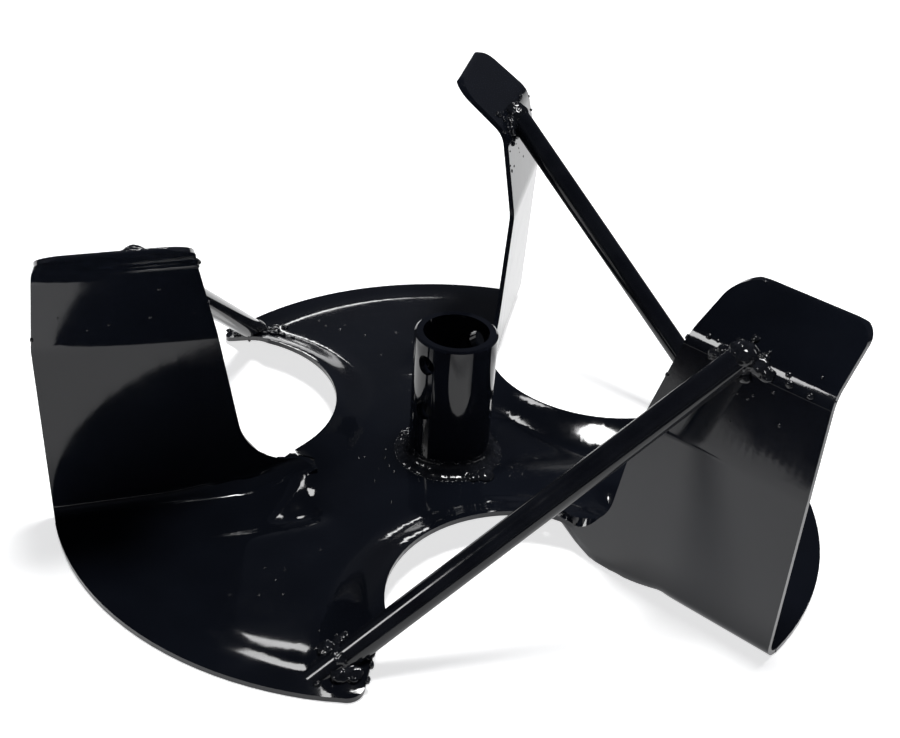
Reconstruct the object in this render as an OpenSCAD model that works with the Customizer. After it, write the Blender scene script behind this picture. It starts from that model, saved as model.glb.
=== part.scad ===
// Three-bladed impeller for a two-stage snow blower.
// One stamped steel sheet makes the dished plate and its three folded blades.
// A drilled hub tube is welded through the middle, and a round rod braces each blade.
// The hub axis is Z. The flat rim of the plate rests on z = 0. Sizes are in millimetres.

/* [Sheet] */
// Thickness of the sheet steel
sheet_t = 2; // [1.5:0.1:3]
// Direction of the first blade, seen from above, in degrees
first_blade_angle = 196.7; // [0:0.1:360]

/* [Lobes] */
// Radius of the arc that each lobe's rim follows
rim_r = 124.9; // [118:0.1:130]
// Distance of that arc's centre from the hub axis, towards the blade
rim_offset = 27.7; // [22:0.1:32]
// Angle from the blade's plane to the lobe's leading edge
lobe_angle = 60.5; // [55:0.5:65]
// Rounding of the lobe's outer corner
lobe_corner_r = 6; // [3:0.5:9]
// Width of the flat border along the rim
rim_border = 13.9; // [10:0.1:18]
// Width of the flat border along a blade's fold
fold_border = 25; // [20:0.5:32]
// Width of the flat tip at the end of a flared border
corner_border = 2; // [1:0.5:5]

/* [Stamped relief] */
// Height of the hub seat above the rim
seat_rise = 7; // [5:0.1:9]
// Radius of the flat hub seat
seat_r = 25; // [23:0.5:28]
// Fall of the panels from the hub seat outwards, in degrees
panel_fall = 3.1; // [2:0.1:3.3]
// Height of the flared slot borders above the rim
flare_rise = 12.5; // [10:0.1:15]
// Slope of the flared slot borders, in degrees
flare_slope = 26; // [22:1:34]
// Width of the level lip round a slot, at the top of its flare
flare_lip = 0.7; // [0.3:0.1:2]
// Slope of the corner where a flare runs down to the rim, in degrees
corner_slope = 27; // [24:1:36]
// Slope of the ramp where a flare runs down to a blade's fold, in degrees
ramp_slope = 19.8; // [16:0.1:24]
// Distance of that ramp's foot from the hub axis
ramp_foot = 79; // [74:0.5:82]
// End of the panels between a blade's fold and the hub, from the hub axis
panel_web_end = 66; // [60:0.5:72]

/* [Slots] */
// Radius of the slot's round inner end
slot_r = 50.3; // [46:0.1:52]
// Distance of the round end's centre from the hub axis, along the next blade
slot_along = 84.7; // [82:0.1:87]
// Distance from that blade's plane to the edge of the slot
slot_gap = 1; // [0.5:0.1:2]

/* [Blades] */
// Distance from the blade's plane to the middle of its folded wall
fold_back = 3; // [2:0.1:4]
// Inside radius of the fold at the plate
fold_r = 5; // [4:0.1:7]
// Height of the first bend, measured along the sheet
first_bend_at = 70.7; // [62:0.1:76]
// Height of the lip's bend, measured along the sheet
lip_bend_at = 105; // [98:0.1:110]
// Length of the whole blade, measured along the sheet
blade_length = 133.9; // [128:0.1:140]
// Lean of the lower wall away from its lobe, in degrees
wall_lean = 1.6; // [0:0.1:3]
// Angle of the first bend, in degrees
first_bend = 14.2; // [10:0.1:18]
// Angle of the lip's bend, in degrees
lip_bend = 41; // [34:0.5:46]
// Middle radius of the first bend
first_bend_r = 20; // [12:1:30]
// Middle radius of the lip's bend
lip_bend_r = 12; // [8:1:20]
// Outer edge of the blade at the plate, from the hub axis
outer_base = 152.4; // [148:0.1:156]
// Outer edge at the first bend
outer_middle = 154.3; // [150:0.1:158]
// Outer edge at the tip
outer_tip = 150.6; // [146:0.1:156]
// Inner edge at the first bend
inner_middle = 89.8; // [85:0.1:95]
// Inner edge at the tip
inner_tip = 102; // [96:0.1:108]
// Rounding of the tip's outer corner
outer_tip_r = 9; // [5:0.5:12]
// Rounding of the tip's inner corner
inner_tip_r = 13; // [8:0.5:18]
// Inner end of the low web at the blade's foot, from the hub axis
web_foot = 54; // [50:0.5:60]
// Rounding between the inner edge and that web
web_r = 22; // [14:1:26]
// Height of the web under that rounding
web_height = 16.5; // [14:0.5:20]
// Fall of the web's top edge towards the hub, in degrees
web_fall = 12.2; // [4:0.1:15]
// Share of the upper inner edge's lean that the lower inner edge has
lower_lean = 0.9; // [0:0.1:1.2]

/* [Hub] */
// Outside diameter of the hub tube
hub_d = 32; // [30:0.1:36]
// Bore of the hub tube
bore_d = 25.4; // [19:0.1:26]
// Length of the hub tube
hub_length = 64; // [56:0.5:80]
// Chamfer at both ends of the hub tube
hub_chamfer = 0.8; // [0.3:0.1:1.4]
// Diameter of the cross holes for the bolts
cross_d = 8; // [6:0.1:10]
// Distance from the top of the tube to the first cross hole
first_cross = 9; // [7:0.5:14]
// Distance between the two cross holes
cross_pitch = 20; // [14:0.5:26]
// Direction of the cross holes from the first blade, in degrees
cross_angle = 27.6; // [0:0.1:60]
// Play between the hub tube and its hole in the plate, on the radius
hub_fit = 0.1; // [0:0.05:0.3]
// Leg of the weld round the hub
hub_weld_leg = 5.6; // [3:0.1:7]

/* [Brace rods] */
// Diameter of the rods
rod_d = 9.5; // [7:0.1:12]
// Foot of the rod along the braced blade, from the hub axis
foot_along = 54.8; // [50:0.1:58]
// Foot of the rod from the braced blade's plane
foot_out = 111; // [104:0.1:113]
// Place of the rod's top along the blade, from the hub axis
top_along = 118.3; // [112:0.1:130]
// Distance of the rod's axis above the lip's bend, where the rod butts against it
rod_above = 1.6; // [0:0.1:2.5]
// Play between a rod's cut end and the sheet
rod_play = 0.05; // [0:0.01:0.2]
// Radius of the weld round a rod's foot
foot_weld_r = 7.2; // [6:0.1:9]
// Radius of the weld round a rod's top
top_weld_r = 6.6; // [6:0.1:8]

/* [Hidden] */
$fn = 96;
blades = 3;
blade_step = 360 / blades;
paint = [0.055, 0.06, 0.075];
weld_paint = [0.09, 0.095, 0.11];
reach = 220;
below = 12;
step_slope = 45;
overlap = 0.5;
bead_fn = 48;

// Plan of the slot, in the frame of the blade that follows it
slot_centre = [slot_along, -slot_gap - slot_r];
edge_dir = [cos(lobe_angle - blade_step), sin(lobe_angle - blade_step)];
edge_near = slot_centre * edge_dir;
edge_off = sqrt(pow(norm(slot_centre), 2) - pow(edge_near, 2));
slot_start = edge_near - sqrt(pow(slot_r, 2) - pow(edge_off, 2));
slot_neck = norm(slot_centre) - slot_r;

// A slot's flared border is a cone round the slot's centre
flare_crest_r = slot_r + flare_lip;
flare_foot_r = flare_crest_r + flare_rise / tan(flare_slope);

// Plan of a lobe's rounded outer corner, in its own blade's frame
lead_dir = [cos(lobe_angle), sin(lobe_angle)];
lead_in = [sin(lobe_angle), -cos(lobe_angle)];
corner_from = lobe_corner_r * lead_in - [rim_offset, 0];
corner_near = -lead_dir * corner_from;
corner_along = corner_near
    + sqrt(pow(corner_near, 2) - pow(norm(corner_from), 2) + pow(rim_r - lobe_corner_r, 2));
corner_centre = corner_along * lead_dir + lobe_corner_r * lead_in;
corner_out = (corner_centre - [rim_offset, 0]) / (rim_r - lobe_corner_r) * lobe_corner_r;
corner_cover = 1.6;

// Section of a folded blade: each row is a straight length, then a bend and its radius
fold_mid_r = fold_r + sheet_t / 2;
fold_angle = 90 - wall_lean;
fold_tangent = fold_mid_r * tan(fold_angle / 2);
first_tangent = first_bend_r * tan(first_bend / 2);
lip_tangent = lip_bend_r * tan(lip_bend / 2);
section_rows = [
    [overlap, fold_angle, fold_mid_r],
    [first_bend_at - fold_tangent - first_tangent, first_bend, first_bend_r],
    [lip_bend_at - first_bend_at - first_tangent - lip_tangent, lip_bend, lip_bend_r],
    [blade_length - lip_bend_at - lip_tangent, 0, 0]
];
section_start = [fold_tangent + overlap - fold_back, sheet_t / 2];
bend_step = 6;

// Headings of the blade's three walls in its section, from the plate upwards
wall_heading = 180 - fold_angle;
upper_heading = wall_heading - first_bend;
lip_heading = upper_heading - lip_bend;
wall_foot = [-fold_back, sheet_t / 2];
first_corner = wall_foot + first_bend_at * heading(wall_heading);
lip_corner = first_corner + (lip_bend_at - first_bend_at) * heading(upper_heading);
lip_bend_centre = lip_corner - lip_tangent * heading(upper_heading)
    + lip_bend_r * heading(upper_heading - 90);

// A rod stands on a flare and its cut top butts against the outside of the lip's bend
foot_plan = [foot_along, -foot_out];
foot_rise = (flare_foot_r - norm(foot_plan - slot_centre)) * tan(flare_slope);
bend_out_r = lip_bend_r + sheet_t / 2;
bend_middle = (upper_heading + lip_heading) / 2 + 90;
rod_foot = [foot_along, -foot_out, sheet_t + foot_rise];
rod_top_section = lip_bend_centre + (bend_out_r + rod_above) * heading(bend_middle);
rod_top = [top_along, rod_top_section[0], rod_top_section[1]];
rod_run = rod_top - rod_foot;
rod_length = norm(rod_run);
rod_dir = rod_run / rod_length;
rod_sink = 1.5 * rod_d;
rod_heading = atan2(rod_dir[1], rod_dir[0]);
rod_tilt = acos(rod_dir[2]);

function heading(a) = [cos(a), sin(a)];

// One side of a bent strip: a walk along its rows, at distance d to the left
function walk(rows, p, a, d, i = 0) =
    i == len(rows) ? [] :
    let (
        row = rows[i],
        q = p + row[0] * heading(a),
        turn = row[1],
        c = q + row[2] * heading(a - 90),
        steps = max(1, ceil(turn / bend_step)),
        arc = [for (s = [0:steps]) c + (row[2] + d) * heading(a + 90 - turn * s / steps)]
    )
    concat(
        turn == 0 ? [p + d * heading(a + 90), q + d * heading(a + 90)] : arc,
        walk(rows, turn == 0 ? q : c + row[2] * heading(a + 90 - turn), a - turn, d, i + 1)
    );

function strip_outline(rows, p, a, t) =
    let (
        left = walk(rows, p, a, t / 2),
        right = walk(rows, p, a, -t / 2),
        n = len(right)
    )
    concat(
        [p + t / 2 * heading(a + 90)], left,
        [for (i = [n - 1:-1:0]) right[i]], [p - t / 2 * heading(a + 90)]
    );

// A polygon's corner, rounded: each row of the outline is a point and its radius
function rounded_corner(before, at, after, r) =
    let (
        a = (before - at) / norm(before - at),
        b = (after - at) / norm(after - at),
        half = acos(a * b) / 2,
        mid = (a + b) / norm(a + b),
        c = at + mid * r / sin(half),
        from = at + a * r / tan(half) - c,
        turn = 180 - 2 * half,
        side = from[0] * b[1] - from[1] * b[0] > 0 ? 1 : -1,
        steps = max(1, ceil(turn / bend_step))
    )
    [for (s = [0:steps])
        let (w = side * turn * s / steps)
        c + [from[0] * cos(w) - from[1] * sin(w), from[0] * sin(w) + from[1] * cos(w)]];

function rounded_path(rows) =
    let (n = len(rows))
    [for (i = [0:n - 1])
        let (
            at = [rows[i][0], rows[i][1]],
            before = rows[(i + n - 1) % n],
            after = rows[(i + 1) % n]
        )
        each rows[i][2] == 0 ? [at] : rounded_corner(
            [before[0], before[1]], at, [after[0], after[1]], rows[i][2])];

// Height of a point of the flat blade once it is folded up
function folded_height(s) =
    s < first_bend_at ? wall_foot[1] + s * sin(wall_heading) :
    s < lip_bend_at ? first_corner[1] + (s - first_bend_at) * sin(upper_heading) :
    lip_corner[1] + (s - lip_bend_at) * sin(lip_heading);

module at_blade(k) {
    rotate([0, 0, first_blade_angle + k * blade_step])
        children();
}

module in_blade_section() {
    rotate([90, 0, 90])
        children();
}

module in_blade_front() {
    translate([0, reach / 2, 0])
        rotate([90, 0, 0])
            linear_extrude(reach)
                children();
}

module along_rod(from, length) {
    translate(rod_foot + from * rod_dir)
        rotate([0, rod_tilt, rod_heading])
            cylinder(h = length, d = rod_d);
}

// Plan of one lobe, before the slots are cut
module lobe_plan() {
    difference() {
        intersection() {
            translate([rim_offset, 0])
                circle(r = rim_r);
            polygon([[0, 0], [reach, -fold_back], reach * lead_dir]);
        }
        difference() {
            polygon([
                corner_centre,
                corner_centre - lobe_corner_r * lead_in,
                corner_centre + corner_cover * (corner_out - lobe_corner_r * lead_in),
                corner_centre + corner_out
            ]);
            translate(corner_centre)
                circle(r = lobe_corner_r);
        }
    }
}

module slot_plan() {
    translate(slot_centre)
        circle(r = slot_r);
    polygon([
        slot_start * edge_dir,
        reach * edge_dir,
        [reach, -slot_gap],
        [slot_along, -slot_gap]
    ]);
}

module plate_plan() {
    difference() {
        union() {
            circle(r = slot_neck + fold_border);
            for (k = [0:blades - 1])
                at_blade(k)
                    lobe_plan();
        }
        for (k = [0:blades - 1])
            at_blade(k)
                slot_plan();
    }
}

// A half-space under a plane that starts at the line u = foot and rises towards the hub
module under_ramp(foot, rise) {
    translate([foot, 0, sheet_t])
        rotate([0, rise, 0])
            translate([-reach, -reach / 2, -reach])
                cube([2 * reach, reach, reach]);
}

// A low stepped cone: everything under it, with its step of 45 degrees ending at a radius
module under_step(r) {
    deep = below - overlap;
    high = seat_rise + overlap;
    translate([0, 0, sheet_t - deep])
        cylinder(h = deep + high, r1 = r + deep, r2 = r - high);
}

// Panels: a very flat cone that ends in a small step along the rim and the fold
module panels() {
    intersection() {
        translate([0, 0, sheet_t - below])
            cylinder(
                h = seat_rise + below,
                r1 = seat_r + (seat_rise + below) / tan(panel_fall),
                r2 = seat_r
            );
        union() {
            under_step(panel_web_end);
            for (k = [0:blades - 1])
                at_blade(k)
                    panel_limit();
        }
    }
}

module panel_limit() {
    intersection() {
        translate([rim_offset, 0, 0])
            under_step(rim_r - rim_border);
        translate([0, fold_border, sheet_t])
            rotate([step_slope, 0, 0])
                translate([-reach / 2, -below, -reach])
                    cube([2 * reach, reach, reach]);
        translate([0, 0, -below])
            linear_extrude(reach)
                polygon([
                    [0, 0],
                    [reach, 0],
                    [reach, reach],
                    [0, reach],
                    reach * heading(blade_step - 1)
                ]);
    }
}

// The border of one slot flares up towards the slot's edge
module slot_flare(k) {
    intersection() {
        at_blade(k + 1)
            translate([slot_centre[0], slot_centre[1], sheet_t - below])
                cylinder(
                    h = flare_rise + below,
                    r1 = flare_foot_r + below / tan(flare_slope),
                    r2 = flare_crest_r
                );
        at_blade(k)
            translate([rim_offset, 0, sheet_t - below])
                cylinder(
                    h = flare_rise + below,
                    r1 = rim_r - corner_border + below / tan(corner_slope),
                    r2 = rim_r - corner_border - flare_rise / tan(corner_slope)
                );
        union() {
            at_blade(k + 1)
                under_ramp(ramp_foot + overlap, ramp_slope);
            at_blade(k + 1)
                translate([-reach, -2 * reach - fold_back, -reach])
                    cube([3 * reach, 2 * reach, 2 * reach]);
        }
    }
}

// Everything under the plate's top surface
module under_top() {
    translate([0, 0, -below])
        cylinder(h = below + sheet_t, r = reach);
    panels();
    for (k = [0:blades - 1])
        slot_flare(k);
}

module dished_sheet() {
    difference() {
        intersection() {
            difference() {
                under_top();
                translate([0, 0, -sheet_t])
                    under_top();
            }
            translate([0, 0, -below])
                linear_extrude(reach)
                    plate_plan();
        }
        translate([0, 0, -below])
            cylinder(h = reach, d = hub_d + 2 * hub_fit);
        for (k = [0:blades - 1])
            at_blade(k)
                translate([web_foot, -fold_back, -below])
                    cube([reach, fold_tangent, reach]);
    }
}

module blade_front() {
    web_run = outer_base - inner_middle;
    polygon([for (p = rounded_path([
        [inner_middle - web_run, -below, 0],
        [inner_middle - web_run, web_height - web_run * tan(web_fall), 0],
        [inner_edge_foot(), web_height, web_r],
        [inner_middle, first_bend_at, 0],
        [inner_tip, blade_length, inner_tip_r],
        [outer_tip, blade_length, outer_tip_r],
        [outer_middle, first_bend_at, 0],
        [outer_base, 0, 0],
        [outer_base, -below, 0]
    ])) [p[0], folded_height(p[1])]]);
}

// The inner edge runs straight from the first bend down to the web
function inner_edge_foot() =
    inner_middle - (first_bend_at - web_height) * (inner_tip - inner_middle)
        / (blade_length - first_bend_at) * lower_lean;

module folded_blade() {
    intersection() {
        in_blade_front()
            blade_front();
        union() {
            translate([ramp_foot - overlap, 0, 0])
                in_blade_section()
                    linear_extrude(reach)
                        polygon(strip_outline(section_rows, section_start, 180, sheet_t));
            intersection() {
                translate([ramp_foot, 0, sheet_t])
                    rotate([0, ramp_slope, 0])
                        translate([-reach / 2, 0, -sheet_t])
                            in_blade_section()
                                linear_extrude(reach)
                                    polygon(strip_outline(
                                        [section_rows[0], [first_bend_at / 2, 0, 0]],
                                        section_start, 180, sheet_t));
                translate([web_foot, -reach / 2, 0])
                    cube([ramp_foot + overlap / 2 - web_foot, reach, reach]);
            }
        }
    }
}

module bladed_plate() {
    color(paint)
        union() {
            dished_sheet();
            for (k = [0:blades - 1])
                at_blade(k)
                    folded_blade();
        }
}

module hub_tube() {
    color(paint)
        difference() {
            rotate_extrude()
                polygon([
                    [bore_d / 2, 0],
                    [hub_d / 2 - hub_chamfer, 0],
                    [hub_d / 2, hub_chamfer],
                    [hub_d / 2, hub_length - hub_chamfer],
                    [hub_d / 2 - hub_chamfer, hub_length],
                    [bore_d / 2, hub_length]
                ]);
            for (i = [0:1])
                translate([0, 0, hub_length - first_cross - i * cross_pitch])
                    rotate([0, 90, first_blade_angle + cross_angle])
                        translate([0, 0, -hub_d])
                            cylinder(h = 2 * hub_d, d = cross_d);
        }
}

module hub_weld() {
    color(weld_paint)
        translate([0, 0, sheet_t + seat_rise])
            rotate_extrude()
                difference() {
                    translate([hub_d / 2, 0])
                        square(hub_weld_leg);
                    translate([hub_d / 2 + hub_weld_leg, hub_weld_leg])
                        circle(r = hub_weld_leg);
                }
}

// Everything on the lobe's side of the sheet's outer face at the lip, and a little more
module behind_lip(play) {
    out_r = bend_out_r + play;
    up_out = lip_bend_centre + out_r * heading(upper_heading + 90);
    lip_out = lip_bend_centre + out_r * heading(lip_heading + 90);
    in_blade_section()
        linear_extrude(reach) {
            translate(lip_bend_centre)
                circle(r = out_r);
            polygon([
                up_out,
                lip_bend_centre,
                lip_out,
                lip_out + reach * heading(lip_heading),
                reach * heading(0),
                up_out - reach * heading(upper_heading)
            ]);
        }
}

// Rod k stands on lobe k and braces the blade that follows it
module brace_rod(k) {
    color(paint)
        difference() {
            at_blade(k + 1)
                difference() {
                    along_rod(-rod_sink, rod_sink + rod_length);
                    behind_lip(rod_play);
                }
            under_top();
        }
}

module rod_foot_weld(k) {
    color(weld_paint)
        difference() {
            at_blade(k + 1)
                difference() {
                    translate(rod_foot)
                        sphere(r = foot_weld_r, $fn = bead_fn);
                    along_rod(-rod_sink, rod_sink + rod_length);
                }
            under_top();
        }
}

module rod_top_weld(k) {
    color(weld_paint)
        at_blade(k + 1)
            difference() {
                translate(rod_top)
                    sphere(r = top_weld_r, $fn = bead_fn);
                along_rod(-rod_sink, rod_sink + rod_length);
                behind_lip(0);
            }
}

bladed_plate();
hub_tube();
hub_weld();
brace_rod(0);  // brace_rod_1
brace_rod(1);  // brace_rod_2
brace_rod(2);  // brace_rod_3
rod_foot_weld(0);  // rod_foot_weld_1
rod_foot_weld(1);  // rod_foot_weld_2
rod_foot_weld(2);  // rod_foot_weld_3
rod_top_weld(0);  // rod_top_weld_1
rod_top_weld(1);  // rod_top_weld_2
rod_top_weld(2);  // rod_top_weld_3
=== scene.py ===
import bpy, bmesh, math, random
import numpy as np
from mathutils import Vector, Matrix, noise
from mathutils.bvhtree import BVHTree


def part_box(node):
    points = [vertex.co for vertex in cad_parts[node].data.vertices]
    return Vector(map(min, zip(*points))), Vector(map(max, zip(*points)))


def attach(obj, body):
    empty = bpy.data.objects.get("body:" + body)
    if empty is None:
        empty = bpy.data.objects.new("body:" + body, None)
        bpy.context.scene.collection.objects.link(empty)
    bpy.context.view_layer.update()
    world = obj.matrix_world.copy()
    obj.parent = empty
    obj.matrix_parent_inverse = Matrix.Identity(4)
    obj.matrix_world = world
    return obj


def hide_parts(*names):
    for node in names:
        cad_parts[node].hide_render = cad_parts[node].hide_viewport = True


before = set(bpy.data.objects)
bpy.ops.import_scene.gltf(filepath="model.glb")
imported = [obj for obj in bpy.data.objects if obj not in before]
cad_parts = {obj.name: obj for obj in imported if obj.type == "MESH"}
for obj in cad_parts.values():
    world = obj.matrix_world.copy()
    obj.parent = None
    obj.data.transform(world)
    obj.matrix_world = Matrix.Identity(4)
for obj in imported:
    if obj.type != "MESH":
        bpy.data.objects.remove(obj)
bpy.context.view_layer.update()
print("frame loaded")

mm = 0.001

# where the three blades stand, seen from above
impeller = {"blades": 3, "firstBlade": 196.7}

camera = {
    "place": (-0.02978, -0.46984, 0.33746),
    "yaw": 4.695, "pitch": 32.552, "roll": 4.899,   # degrees
    "lens": 57.4, "sensor": 36.0,
    "shiftX": -0.0274, "shiftY": 0.0266,
}


def makeCamera():
    data = bpy.data.cameras.new("camera")
    data.lens = camera["lens"]
    data.sensor_width = camera["sensor"]
    data.shift_x = camera["shiftX"]
    data.shift_y = camera["shiftY"]
    data.clip_start = 0.01
    data.clip_end = 20
    cam = bpy.data.objects.new("camera", data)
    bpy.context.scene.collection.objects.link(cam)
    yaw, pitch, roll = (math.radians(camera[k]) for k in ("yaw", "pitch", "roll"))
    ahead = Vector((math.sin(yaw) * math.cos(pitch), math.cos(yaw) * math.cos(pitch), -math.sin(pitch)))
    side = ahead.cross(Vector((0, 0, 1))).normalized()
    up = side.cross(ahead)
    right = math.cos(roll) * side + math.sin(roll) * up
    top = math.cos(roll) * up - math.sin(roll) * side
    turn = Matrix((right, top, -ahead)).transposed()
    cam.matrix_world = Matrix.Translation(camera["place"]) @ turn.to_4x4()
    bpy.context.scene.camera = cam
    print("camera made")


# white paper that glows a little, as in a cut-out product picture
floor = {"size": 8.0, "drop": 0.0002, "colour": (0.9, 0.9, 0.9, 1), "roughness": 0.7, "glow": 0.72}

# a dark card on the floor before the camera, out of the picture, that the paint mirrors
card = {"size": (4.0, 2.0), "middle": (0, -1.29), "lift": 0.0001, "colour": (0.01, 0.01, 0.013, 1)}


def makeFloor():
    bpy.ops.object.select_all(action="DESELECT")
    bpy.ops.mesh.primitive_plane_add(size=floor["size"], location=(0, 0, -floor["drop"]))
    plane = bpy.context.object
    plane.name = "floor"
    mat = bpy.data.materials.new("floorPaper")
    mat.use_nodes = True
    shader = mat.node_tree.nodes["Principled BSDF"]
    shader.inputs["Base Color"].default_value = floor["colour"]
    shader.inputs["Roughness"].default_value = floor["roughness"]
    shader.inputs["Emission Color"].default_value = (1, 1, 1, 1)
    shader.inputs["Emission Strength"].default_value = floor["glow"]
    plane.data.materials.append(mat)
    print("floor made")


def makeCard():
    bpy.ops.object.select_all(action="DESELECT")
    bpy.ops.mesh.primitive_plane_add(size=1, location=(*card["middle"], card["lift"]))
    flag = bpy.context.object
    flag.name = "darkCard"
    flag.scale = (*card["size"], 1)
    bpy.ops.object.transform_apply(location=False, rotation=False, scale=True)
    mat = bpy.data.materials.new("blackCard")
    mat.use_nodes = True
    shader = mat.node_tree.nodes["Principled BSDF"]
    shader.inputs["Base Color"].default_value = card["colour"]
    shader.inputs["Roughness"].default_value = 1.0
    flag.data.materials.append(mat)
    flag.visible_camera = False
    flag.visible_shadow = False
    flag.visible_diffuse = False
    print("card laid")


# soft boxes, all turned to the hub: place, size, power; those that only gleam in the paint
# don't light the floor
lights = {
    "top": {"place": (0.15, 0.12, 1.75), "size": (0.4, 0.4), "power": 24, "gleam": False},
    "left": {"place": (-1.36, -0.5, 1.03), "size": (0.4, 0.4), "power": 8, "gleam": True},
    "behind": {"place": (-0.28, 0.92, 1.55), "size": (0.25, 0.2), "power": 2.2, "gleam": True},
    "window": {"place": (-0.17, 1.97, 0.33), "size": (0.7, 0.14), "power": 2.2, "gleam": True},
}

# what the room above the floor is like: its height in the sky, from 0 at the floor's far
# edge to 1 straight above, and its colour there
room = {
    "strength": 1.0,
    "steps": [
        (0.0, (0.02, 0.02, 0.024, 1)),
        (0.4, (0.075, 0.08, 0.095, 1)),
        (0.56, (0.04, 0.045, 0.06, 1)),
        (0.85, (0.012, 0.014, 0.02, 1)),
    ],
}


def makeLights():
    for name, spec in lights.items():
        data = bpy.data.lights.new(name, "AREA")
        data.shape = "RECTANGLE"
        data.size, data.size_y = spec["size"]
        data.energy = spec["power"]
        lamp = bpy.data.objects.new(name, data)
        bpy.context.scene.collection.objects.link(lamp)
        lamp.location = spec["place"]
        lamp.visible_camera = False
        lamp.visible_diffuse = not spec["gleam"]
        lamp.rotation_euler = Vector(spec["place"]).to_track_quat("Z", "Y").to_euler()
    world = bpy.data.worlds.new("studio")
    bpy.context.scene.world = world
    world.use_nodes = True
    nodes, links = world.node_tree.nodes, world.node_tree.links
    sky = nodes["Background"]
    sky.inputs["Strength"].default_value = room["strength"]
    coords = nodes.new("ShaderNodeTexCoord")
    split = nodes.new("ShaderNodeSeparateXYZ")
    ramp = nodes.new("ShaderNodeValToRGB")
    links.new(coords.outputs["Generated"], split.inputs["Vector"])
    links.new(split.outputs["Z"], ramp.inputs["Fac"])
    links.new(ramp.outputs["Color"], sky.inputs["Color"])
    setRamp(ramp, room["steps"])
    bpy.context.scene.view_settings.view_transform = "Standard"
    print("lights made")


def setRamp(ramp, steps):
    stops = ramp.color_ramp.elements
    while len(stops) < len(steps):
        stops.new(0.5)
    for stop, (place, colour) in zip(stops, steps):
        stop.position = place
        stop.color = colour


# the finishes: dark colour and its lighter drift, gloss, and the depth of waves and grain
finishes = {
    "sheetEnamel": {
        "slot": "sheet_paint", "deep": (0.0035, 0.0042, 0.0065, 1), "light": (0.006, 0.0075, 0.012, 1),
        "drift": 14, "gloss": (0.05, 0.13), "cloud": 55,
        "wave": 45, "waveDepth": 0.00006, "grain": 700, "grainDepth": 0.000004,
    },
    "hubEnamel": {
        "slot": "hub_paint", "deep": (0.0032, 0.0038, 0.006, 1), "light": (0.005, 0.006, 0.01, 1),
        "drift": 40, "gloss": (0.04, 0.1), "cloud": 90,
        "wave": 110, "waveDepth": 0.00002, "grain": 900, "grainDepth": 0.000004,
    },
    "rodEnamel": {
        "slot": "rod_paint", "deep": (0.0035, 0.004, 0.006, 1), "light": (0.007, 0.008, 0.011, 1),
        "drift": 60, "gloss": (0.07, 0.17), "cloud": 120,
        "wave": 160, "waveDepth": 0.00003, "grain": 1100, "grainDepth": 0.000006,
    },
    "weldEnamel": {
        "slot": "weld_paint", "deep": (0.004, 0.0045, 0.006, 1), "light": (0.012, 0.013, 0.017, 1),
        "drift": 220, "gloss": (0.06, 0.24), "cloud": 260,
        "wave": 480, "waveDepth": 0.00012, "grain": 1600, "grainDepth": 0.00002,
    },
}


def makeEnamel(name):
    spec = finishes[name]
    mat = bpy.data.materials.new(name)
    mat.use_nodes = True
    nodes, links = mat.node_tree.nodes, mat.node_tree.links
    shader = nodes["Principled BSDF"]
    shader.inputs["IOR"].default_value = 1.43
    coords = nodes.new("ShaderNodeTexCoord")

    def cloud(scale, detail, rough=0.5):
        node = nodes.new("ShaderNodeTexNoise")
        node.inputs["Scale"].default_value = scale
        node.inputs["Detail"].default_value = detail
        node.inputs["Roughness"].default_value = rough
        links.new(coords.outputs["Object"], node.inputs["Vector"])
        return node.outputs["Fac"]

    def bump(height, depth, below=None):
        node = nodes.new("ShaderNodeBump")
        node.inputs["Strength"].default_value = 1.0
        node.inputs["Distance"].default_value = depth
        links.new(height, node.inputs["Height"])
        if below is not None:
            links.new(below, node.inputs["Normal"])
        return node.outputs["Normal"]

    # the colour drifts where the paint ran thicker
    drift = nodes.new("ShaderNodeValToRGB")
    links.new(cloud(spec["drift"], 4), drift.inputs["Fac"])
    setRamp(drift, [(0.35, spec["deep"]), (0.7, spec["light"])])
    links.new(drift.outputs["Color"], shader.inputs["Base Color"])

    # the gloss varies a little, with duller clouds
    gloss = nodes.new("ShaderNodeMapRange")
    gloss.inputs["From Min"].default_value = 0.35
    gloss.inputs["From Max"].default_value = 0.75
    gloss.inputs["To Min"].default_value, gloss.inputs["To Max"].default_value = spec["gloss"]
    links.new(cloud(spec["cloud"], 6, 0.65), gloss.inputs["Value"])
    links.new(gloss.outputs["Result"], shader.inputs["Roughness"])

    # long waves in the sheet and the fine grain of sprayed paint
    waves = bump(cloud(spec["wave"], 1.5), spec["waveDepth"])
    grain = bump(cloud(spec["grain"], 2), spec["grainDepth"], waves)
    links.new(grain, shader.inputs["Normal"])
    return mat


def selectOnly(*pieces):
    bpy.ops.object.select_all(action="DESELECT")
    for piece in pieces:
        piece.select_set(True)
    bpy.context.view_layer.objects.active = pieces[0]


# a copy of a node's mesh, merged, for a piece that takes the node's place
def copyNode(node, name):
    piece = bpy.data.objects.new(name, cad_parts[node].data.copy())
    piece.data.materials.clear()
    bpy.context.scene.collection.objects.link(piece)
    selectOnly(piece)
    bpy.ops.mesh.customdata_custom_splitnormals_clear()
    bpy.ops.object.mode_set(mode="EDIT")
    bpy.ops.mesh.select_all(action="SELECT")
    bpy.ops.mesh.remove_doubles(threshold=0.002 * mm)
    bpy.ops.mesh.dissolve_limited(angle_limit=math.radians(0.2))
    bpy.ops.object.mode_set(mode="OBJECT")
    return piece


def finishPiece(piece, finish):
    piece.data.materials.clear()
    piece.data.materials.append(bpy.data.materials[finish])
    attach(piece, "root")


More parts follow.
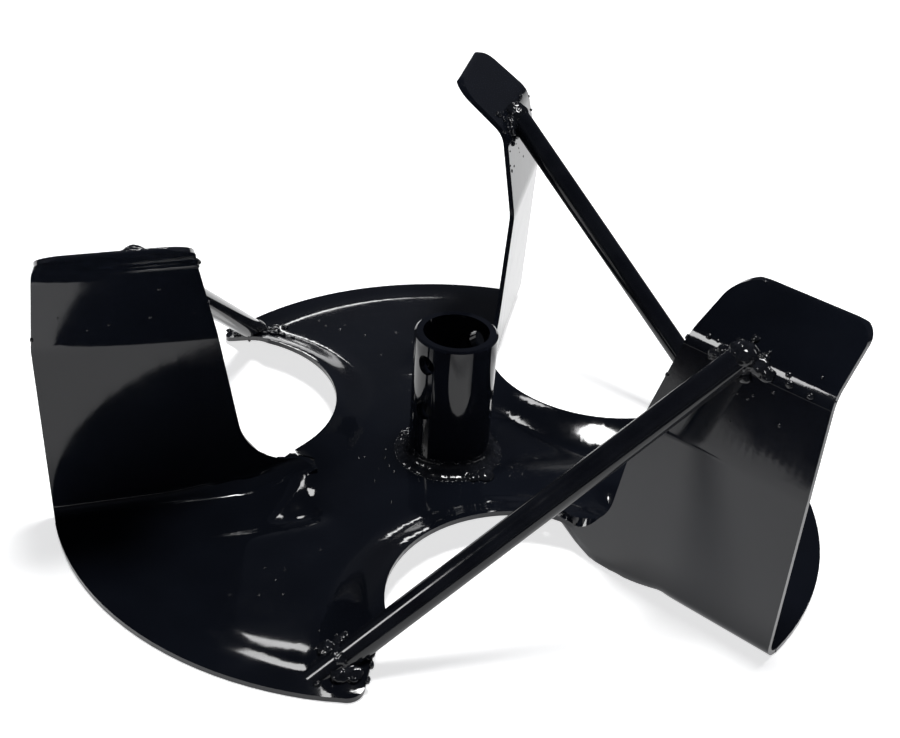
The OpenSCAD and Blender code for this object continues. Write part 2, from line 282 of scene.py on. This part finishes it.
# the stamped sheet, in mm: the press that dished it, and how far its creases are drawn out
press = {
    "thickness": 2, "rimR": 124.9, "rimOffset": 27.7, "rimBorder": 13.9, "foldBorder": 25,
    "foldBack": 3, "cornerBorder": 2, "seatRise": 7, "seatR": 25, "panelFall": 3.1, "panelWebEnd": 66,
    "flareRise": 12.5, "flareSlope": 26, "flareLip": 0.7, "cornerSlope": 27,
    "rampSlope": 19.8, "rampFoot": 79.5, "slotR": 50.3, "slotAlong": 84.7, "slotGap": 1, "sector": 119,
}
sheet = {
    "cell": 2,        # pitch of the net that is laid over the sheet
    "sample": 1,      # pitch at which the press's height is taken
    "margin": 16,
    "draw": 3.2,      # how far a crease is drawn out
    "foot": 6,        # height over which a blade's foot still follows the press
    "snap": 0.12,     # play within which a point lies on the pressed face
    "smooth": 38,
}


# places in one blade's own frame: along it and out of it
def besideBlade(x, y, k):
    turn = math.radians(impeller["firstBlade"] + 360 / impeller["blades"] * k)
    return x * math.cos(turn) + y * math.sin(turn), y * math.cos(turn) - x * math.sin(turn)


# how far the press lifts the sheet over its rim
def pressedHeight(x, y):
    slopes = ("panelFall", "flareSlope", "cornerSlope", "rampSlope")
    tan = {name: math.tan(math.radians(press[name])) for name in slopes}
    fromHub = np.hypot(x, y)
    dish = np.minimum(press["seatRise"], press["seatRise"] - (fromHub - press["seatR"]) * tan["panelFall"])
    inside = press["panelWebEnd"] - fromHub
    flareFoot = press["slotR"] + press["flareLip"] + press["flareRise"] / tan["flareSlope"]
    flares = np.zeros_like(x)
    for k in range(impeller["blades"]):
        along, out = besideBlade(x, y, k)
        fromRim = np.hypot(along - press["rimOffset"], out)
        panel = np.minimum(press["rimR"] - press["rimBorder"] - fromRim, out - press["foldBorder"])
        turned = np.degrees(np.arctan2(out, along)) % 360
        inside = np.maximum(inside, np.where(turned < press["sector"], panel, -100))
        nextAlong, nextOut = besideBlade(x, y, k + 1)
        fromSlot = np.hypot(nextAlong - press["slotAlong"], nextOut + press["slotGap"] + press["slotR"])
        flare = np.minimum(press["flareRise"], (flareFoot - fromSlot) * tan["flareSlope"])
        corner = (press["rimR"] - press["cornerBorder"] - fromRim) * tan["cornerSlope"]
        ramp = (press["rampFoot"] - nextAlong) * tan["rampSlope"]
        ramp = np.where(nextOut > -press["foldBack"], ramp, 100)
        flares = np.maximum(flares, np.minimum(flare, np.minimum(corner, ramp)))
    return np.maximum(flares, np.minimum(dish, inside))


# the same with its creases drawn out
def drawnHeights(start, count):
    step = sheet["sample"]
    across = start[0] + step * np.arange(count[0])
    up = start[1] + step * np.arange(count[1])
    x, y = np.meshgrid(across, up, indexing="ij")
    heights = pressedHeight(x, y)
    reach = sheet["draw"] / step
    half = int(3 * reach)
    weights = np.exp(-0.5 * (np.arange(-half, half + 1) / reach) ** 2)
    weights /= weights.sum()
    for axis in (0, 1):
        shifts = range(-half, half + 1)
        heights = sum(w * np.roll(heights, shift, axis) for shift, w in zip(shifts, weights))
    return heights


def readNet(net, start, x, y):
    across = np.clip((x - start[0]) / sheet["sample"], 0, net.shape[0] - 1.001)
    up = np.clip((y - start[1]) / sheet["sample"], 0, net.shape[1] - 1.001)
    i, j = across.astype(int), up.astype(int)
    a, b = across - i, up - j
    return (net[i, j] * (1 - a) * (1 - b) + net[i + 1, j] * a * (1 - b)
            + net[i, j + 1] * (1 - a) * b + net[i + 1, j + 1] * a * b)


# lay a net over the sheet, so that it has points to bend at
def cutNet(piece, low, high):
    mesh = bmesh.new()
    mesh.from_mesh(piece.data)
    for axis in (0, 1):
        way = Vector((1 - axis, axis, 0))
        place = low[axis]
        while place < high[axis]:
            whole = mesh.verts[:] + mesh.edges[:] + mesh.faces[:]
            bmesh.ops.bisect_plane(mesh, geom=whole, plane_co=way * place * mm, plane_no=way, dist=1e-6)
            place += sheet["cell"]
    bmesh.ops.remove_doubles(mesh, verts=mesh.verts[:], dist=0.03 * mm)
    mesh.to_mesh(piece.data)
    mesh.free()


def makeSheet():
    piece = copyNode("bladed_plate", "stampedSheet")
    low, high = (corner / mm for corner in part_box("bladed_plate"))
    cutNet(piece, low, high)
    print("net laid,", len(piece.data.polygons), "faces")
    start = [low[axis] - sheet["margin"] for axis in (0, 1)]
    count = [int((high[axis] + sheet["margin"] - start[axis]) / sheet["sample"]) for axis in (0, 1)]
    drawn = drawnHeights(start, count)
    co = np.zeros(len(piece.data.vertices) * 3)
    piece.data.vertices.foreach_get("co", co)
    x, y, z = (co.reshape(-1, 3) / mm).T
    pressed = pressedHeight(x, y)
    above = z - pressed
    for face in (0, press["thickness"]):
        z = np.where(abs(above - face) < sheet["snap"], pressed + face, z)
    follow = np.clip(1 - (above - 1.2 * press["thickness"]) / sheet["foot"], 0, 1)
    z = np.maximum(0, z + (readNet(drawn, start, x, y) - pressed) * follow)
    piece.data.vertices.foreach_set("co", (np.stack((x, y, z), axis=1) * mm).ravel())
    piece.data.update()
    selectOnly(piece)
    bpy.ops.object.shade_smooth_by_angle(angle=math.radians(sheet["smooth"]))
    weigh = piece.modifiers.new("flatStaysFlat", "WEIGHTED_NORMAL")
    weigh.keep_sharp = True
    bpy.ops.object.modifier_apply(modifier=weigh.name)
    finishPiece(piece, "sheetEnamel")
    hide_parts("bladed_plate")
    print("stamped sheet made")
    return piece


# the lumps that a weld leaves, in a blade's frame: along it, out of it, up, and their radius;
# crumbs are the small ones strewn round them; sunk is how much of the bead itself is left
footWeld = {
    "grain": 0.45 * mm, "rough": 0.6 * mm, "scale": 300, "flat": 0.5, "raise": 0.2, "sunk": 0.72,
    "lumps": [
        (-9, -1.5, 0, 3.2), (-6, -5.5, 0, 2.6), (3, -7, 0, 2.8), (7.5, -3.5, 0, 3.0),
        (-7.5, 3.5, 0, 2.2), (6, 5, 0, 2.0),
    ],
    "crumbs": {"count": 16, "least": 0.7, "most": 1.7, "spread": (15, 11, 1)},
}
topWeld = {
    "grain": 0.45 * mm, "rough": 0.6 * mm, "scale": 300, "flat": 0.5, "raise": 0.2, "sunk": 0.84,
    "lumps": [
        (6.5, -1, 0, 3.2), (9.5, -2, -1.5, 2.6), (-6.5, -1, -1, 3.0), (-10, -2, -2.5, 2.2),
        (3, -1, -6, 2.4), (-4, -2, -7, 2.2),
    ],
    "crumbs": {"count": 22, "least": 0.6, "most": 1.6, "spread": (24, 2, 9)},
}


def bladeFrame(k):
    return Matrix.Rotation(math.radians(impeller["firstBlade"] + 360 / impeller["blades"] * k), 4, "Z")


def makeWeld(node, name, spec, k, surface, seed):
    piece = copyNode(node, name)
    low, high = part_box(node)
    seat = surface.find_nearest((low + high) / 2)[0]
    for v in piece.data.vertices:
        v.co = seat + (v.co - seat) * spec["sunk"]
    middle = bladeFrame(k).inverted() @ ((low + high) / 2)
    dice = random.Random(seed)
    crumbs = spec["crumbs"]
    lumps = list(spec["lumps"])
    for _ in range(crumbs["count"]):
        offset = [dice.gauss(0, 0.5) * s for s in crumbs["spread"]]
        lumps.append((*offset, dice.uniform(crumbs["least"], crumbs["most"])))
    parts = [piece]
    for along, out, up, radius in lumps:
        spot = bladeFrame(k) @ (middle + Vector((along, out, up)) * mm)
        place, normal, _, _ = surface.find_nearest(spot)
        lift = normal * spec["raise"] * radius * mm
        bpy.ops.mesh.primitive_ico_sphere_add(subdivisions=3, radius=radius * mm, location=place + lift)
        lump = bpy.context.object
        lump.scale = (dice.uniform(0.8, 1.25), 1, spec["flat"])
        lump.rotation_euler = normal.to_track_quat("Z", "Y").to_euler()
        bpy.ops.object.transform_apply(location=True, rotation=True, scale=True)
        parts.append(lump)
    selectOnly(*parts)
    bpy.ops.object.join()
    piece.data.remesh_voxel_size = spec["grain"]
    bpy.ops.object.voxel_remesh()
    shift = Vector((seed * 3.7, seed * 1.3, seed * 2.1))
    normals = [v.normal.copy() for v in piece.data.vertices]
    for v, normal in zip(piece.data.vertices, normals):
        spot = v.co * spec["scale"]
        lift = noise.noise(spot + shift) + 0.5 * noise.noise(spot * 2.4 + shift)
        v.co += normal * lift * spec["rough"]
        v.co.z = max(v.co.z, press["thickness"] / 2 * mm)
    piece.data.update()
    selectOnly(piece)
    bpy.ops.object.shade_smooth()
    finishPiece(piece, "weldEnamel")
    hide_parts(node)
    return piece


# the ripples of the bead round the hub; its lumps are given by how far they are from the
# axis, where they are round it and their radius
hubWeld = {
    "grain": 0.5 * mm, "ripples": 31, "ripple": 0.06 * mm, "sway": 2.5, "rough": 0.16 * mm,
    "scale": 180, "flat": 0.6, "under": 1.5 * mm,
    "lumps": [(22, -50, 3.8), (20.5, -62, 3.0), (20, -38, 2.2), (20, 150, 2.2), (20, 35, 2.0)],
}


def makeHubWeld():
    piece = copyNode("hub_weld", "hubBead")
    low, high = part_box("hub_weld")
    parts = [piece]
    for away, turn, radius in hubWeld["lumps"]:
        turn = math.radians(turn)
        spot = Vector((away * mm * math.cos(turn), away * mm * math.sin(turn), low.z))
        bpy.ops.mesh.primitive_ico_sphere_add(subdivisions=3, radius=radius * mm, location=spot)
        lump = bpy.context.object
        lump.scale = (1, 1, hubWeld["flat"])
        bpy.ops.object.transform_apply(location=True, rotation=True, scale=True)
        parts.append(lump)
    selectOnly(*parts)
    bpy.ops.object.join()
    piece.data.remesh_voxel_size = hubWeld["grain"]
    bpy.ops.object.voxel_remesh()
    normals = [v.normal.copy() for v in piece.data.vertices]
    for v, normal in zip(piece.data.vertices, normals):
        turn = math.atan2(v.co.y, v.co.x)
        sway = hubWeld["sway"] * noise.noise(v.co * 60)
        lift = hubWeld["ripple"] * math.sin(hubWeld["ripples"] * turn + sway)
        lift += hubWeld["rough"] * noise.noise(v.co * hubWeld["scale"])
        v.co += normal * lift
        v.co.z = max(v.co.z, low.z - hubWeld["under"])
    piece.data.update()
    selectOnly(piece)
    bpy.ops.object.shade_smooth()
    finishPiece(piece, "weldEnamel")
    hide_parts("hub_weld")
    print("hub bead made")


# weld spatter under the paint: small round drops on the sheet, round each weld and on the lobes
spatter = {
    "seed": 11, "least": 0.35, "most": 0.95,   # radius in mm
    "foot": {"count": 16, "middle": (52, -112, 6), "spread": (16, 9, 3)},
    "top": {"count": 30, "middle": (119, -2, 95), "spread": (26, 3, 16)},
    "lobe": {"count": 9, "middle": (80, 62, 5), "spread": (34, 30, 1)},
    "hub": {"count": 9, "middle": (28, 8, 9), "spread": (12, 18, 1)},
    "sink": 0.35,
}


def makeSpatter(surface):
    dice = random.Random(spatter["seed"])
    drops = []
    for k in range(impeller["blades"]):
        for where in ("foot", "top", "lobe", "hub"):
            spec = spatter[where]
            for _ in range(spec["count"]):
                offset = Vector([dice.gauss(0, 0.5) * s for s in spec["spread"]])
                spot = bladeFrame(k) @ ((Vector(spec["middle"]) + offset) * mm)
                place, normal, _, _ = surface.find_nearest(spot)
                if place.z < 1.5 * mm:
                    continue
                radius = dice.uniform(spatter["least"], spatter["most"]) * mm
                bpy.ops.mesh.primitive_ico_sphere_add(
                    subdivisions=2, radius=radius, location=place - normal * radius * spatter["sink"])
                drop = bpy.context.object
                drop.scale = (1, dice.uniform(0.8, 1.3), 0.8)
                drop.rotation_euler = normal.to_track_quat("Z", "Y").to_euler()
                bpy.ops.object.transform_apply(location=True, rotation=True, scale=True)
                drops.append(drop)
    selectOnly(*drops)
    bpy.ops.object.join()
    piece = bpy.context.object
    piece.name = "weldSpatter"
    bpy.ops.object.origin_set(type="ORIGIN_CURSOR")
    bpy.ops.object.shade_smooth()
    finishPiece(piece, "weldEnamel")
    print("spatter made,", len(drops), "drops")


def paintNodes():
    for name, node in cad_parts.items():
        finish = "weldEnamel"
        if name == "hub_tube":
            finish = "hubEnamel"
        elif name == "bladed_plate":
            finish = "sheetEnamel"
        elif name.startswith("brace_rod"):
            finish = "rodEnamel"
        node.data.materials.clear()
        node.data.materials.append(bpy.data.materials[finish])
    print("nodes painted")


makeCamera()
makeFloor()
makeCard()
makeLights()
for finish in finishes:
    makeEnamel(finish)
paintNodes()
stamped = makeSheet()
surface = BVHTree.FromObject(stamped, bpy.context.evaluated_depsgraph_get())
for k in range(impeller["blades"]):
    braced = (k + 1) % impeller["blades"]
    makeWeld(f"rod_foot_weld_{k + 1}", f"footWeld{k + 1}", footWeld, braced, surface, k + 1)
    makeWeld(f"rod_top_weld_{k + 1}", f"topWeld{k + 1}", topWeld, braced, surface, k + 5)
print("rod welds made")
makeHubWeld()
makeSpatter(surface)
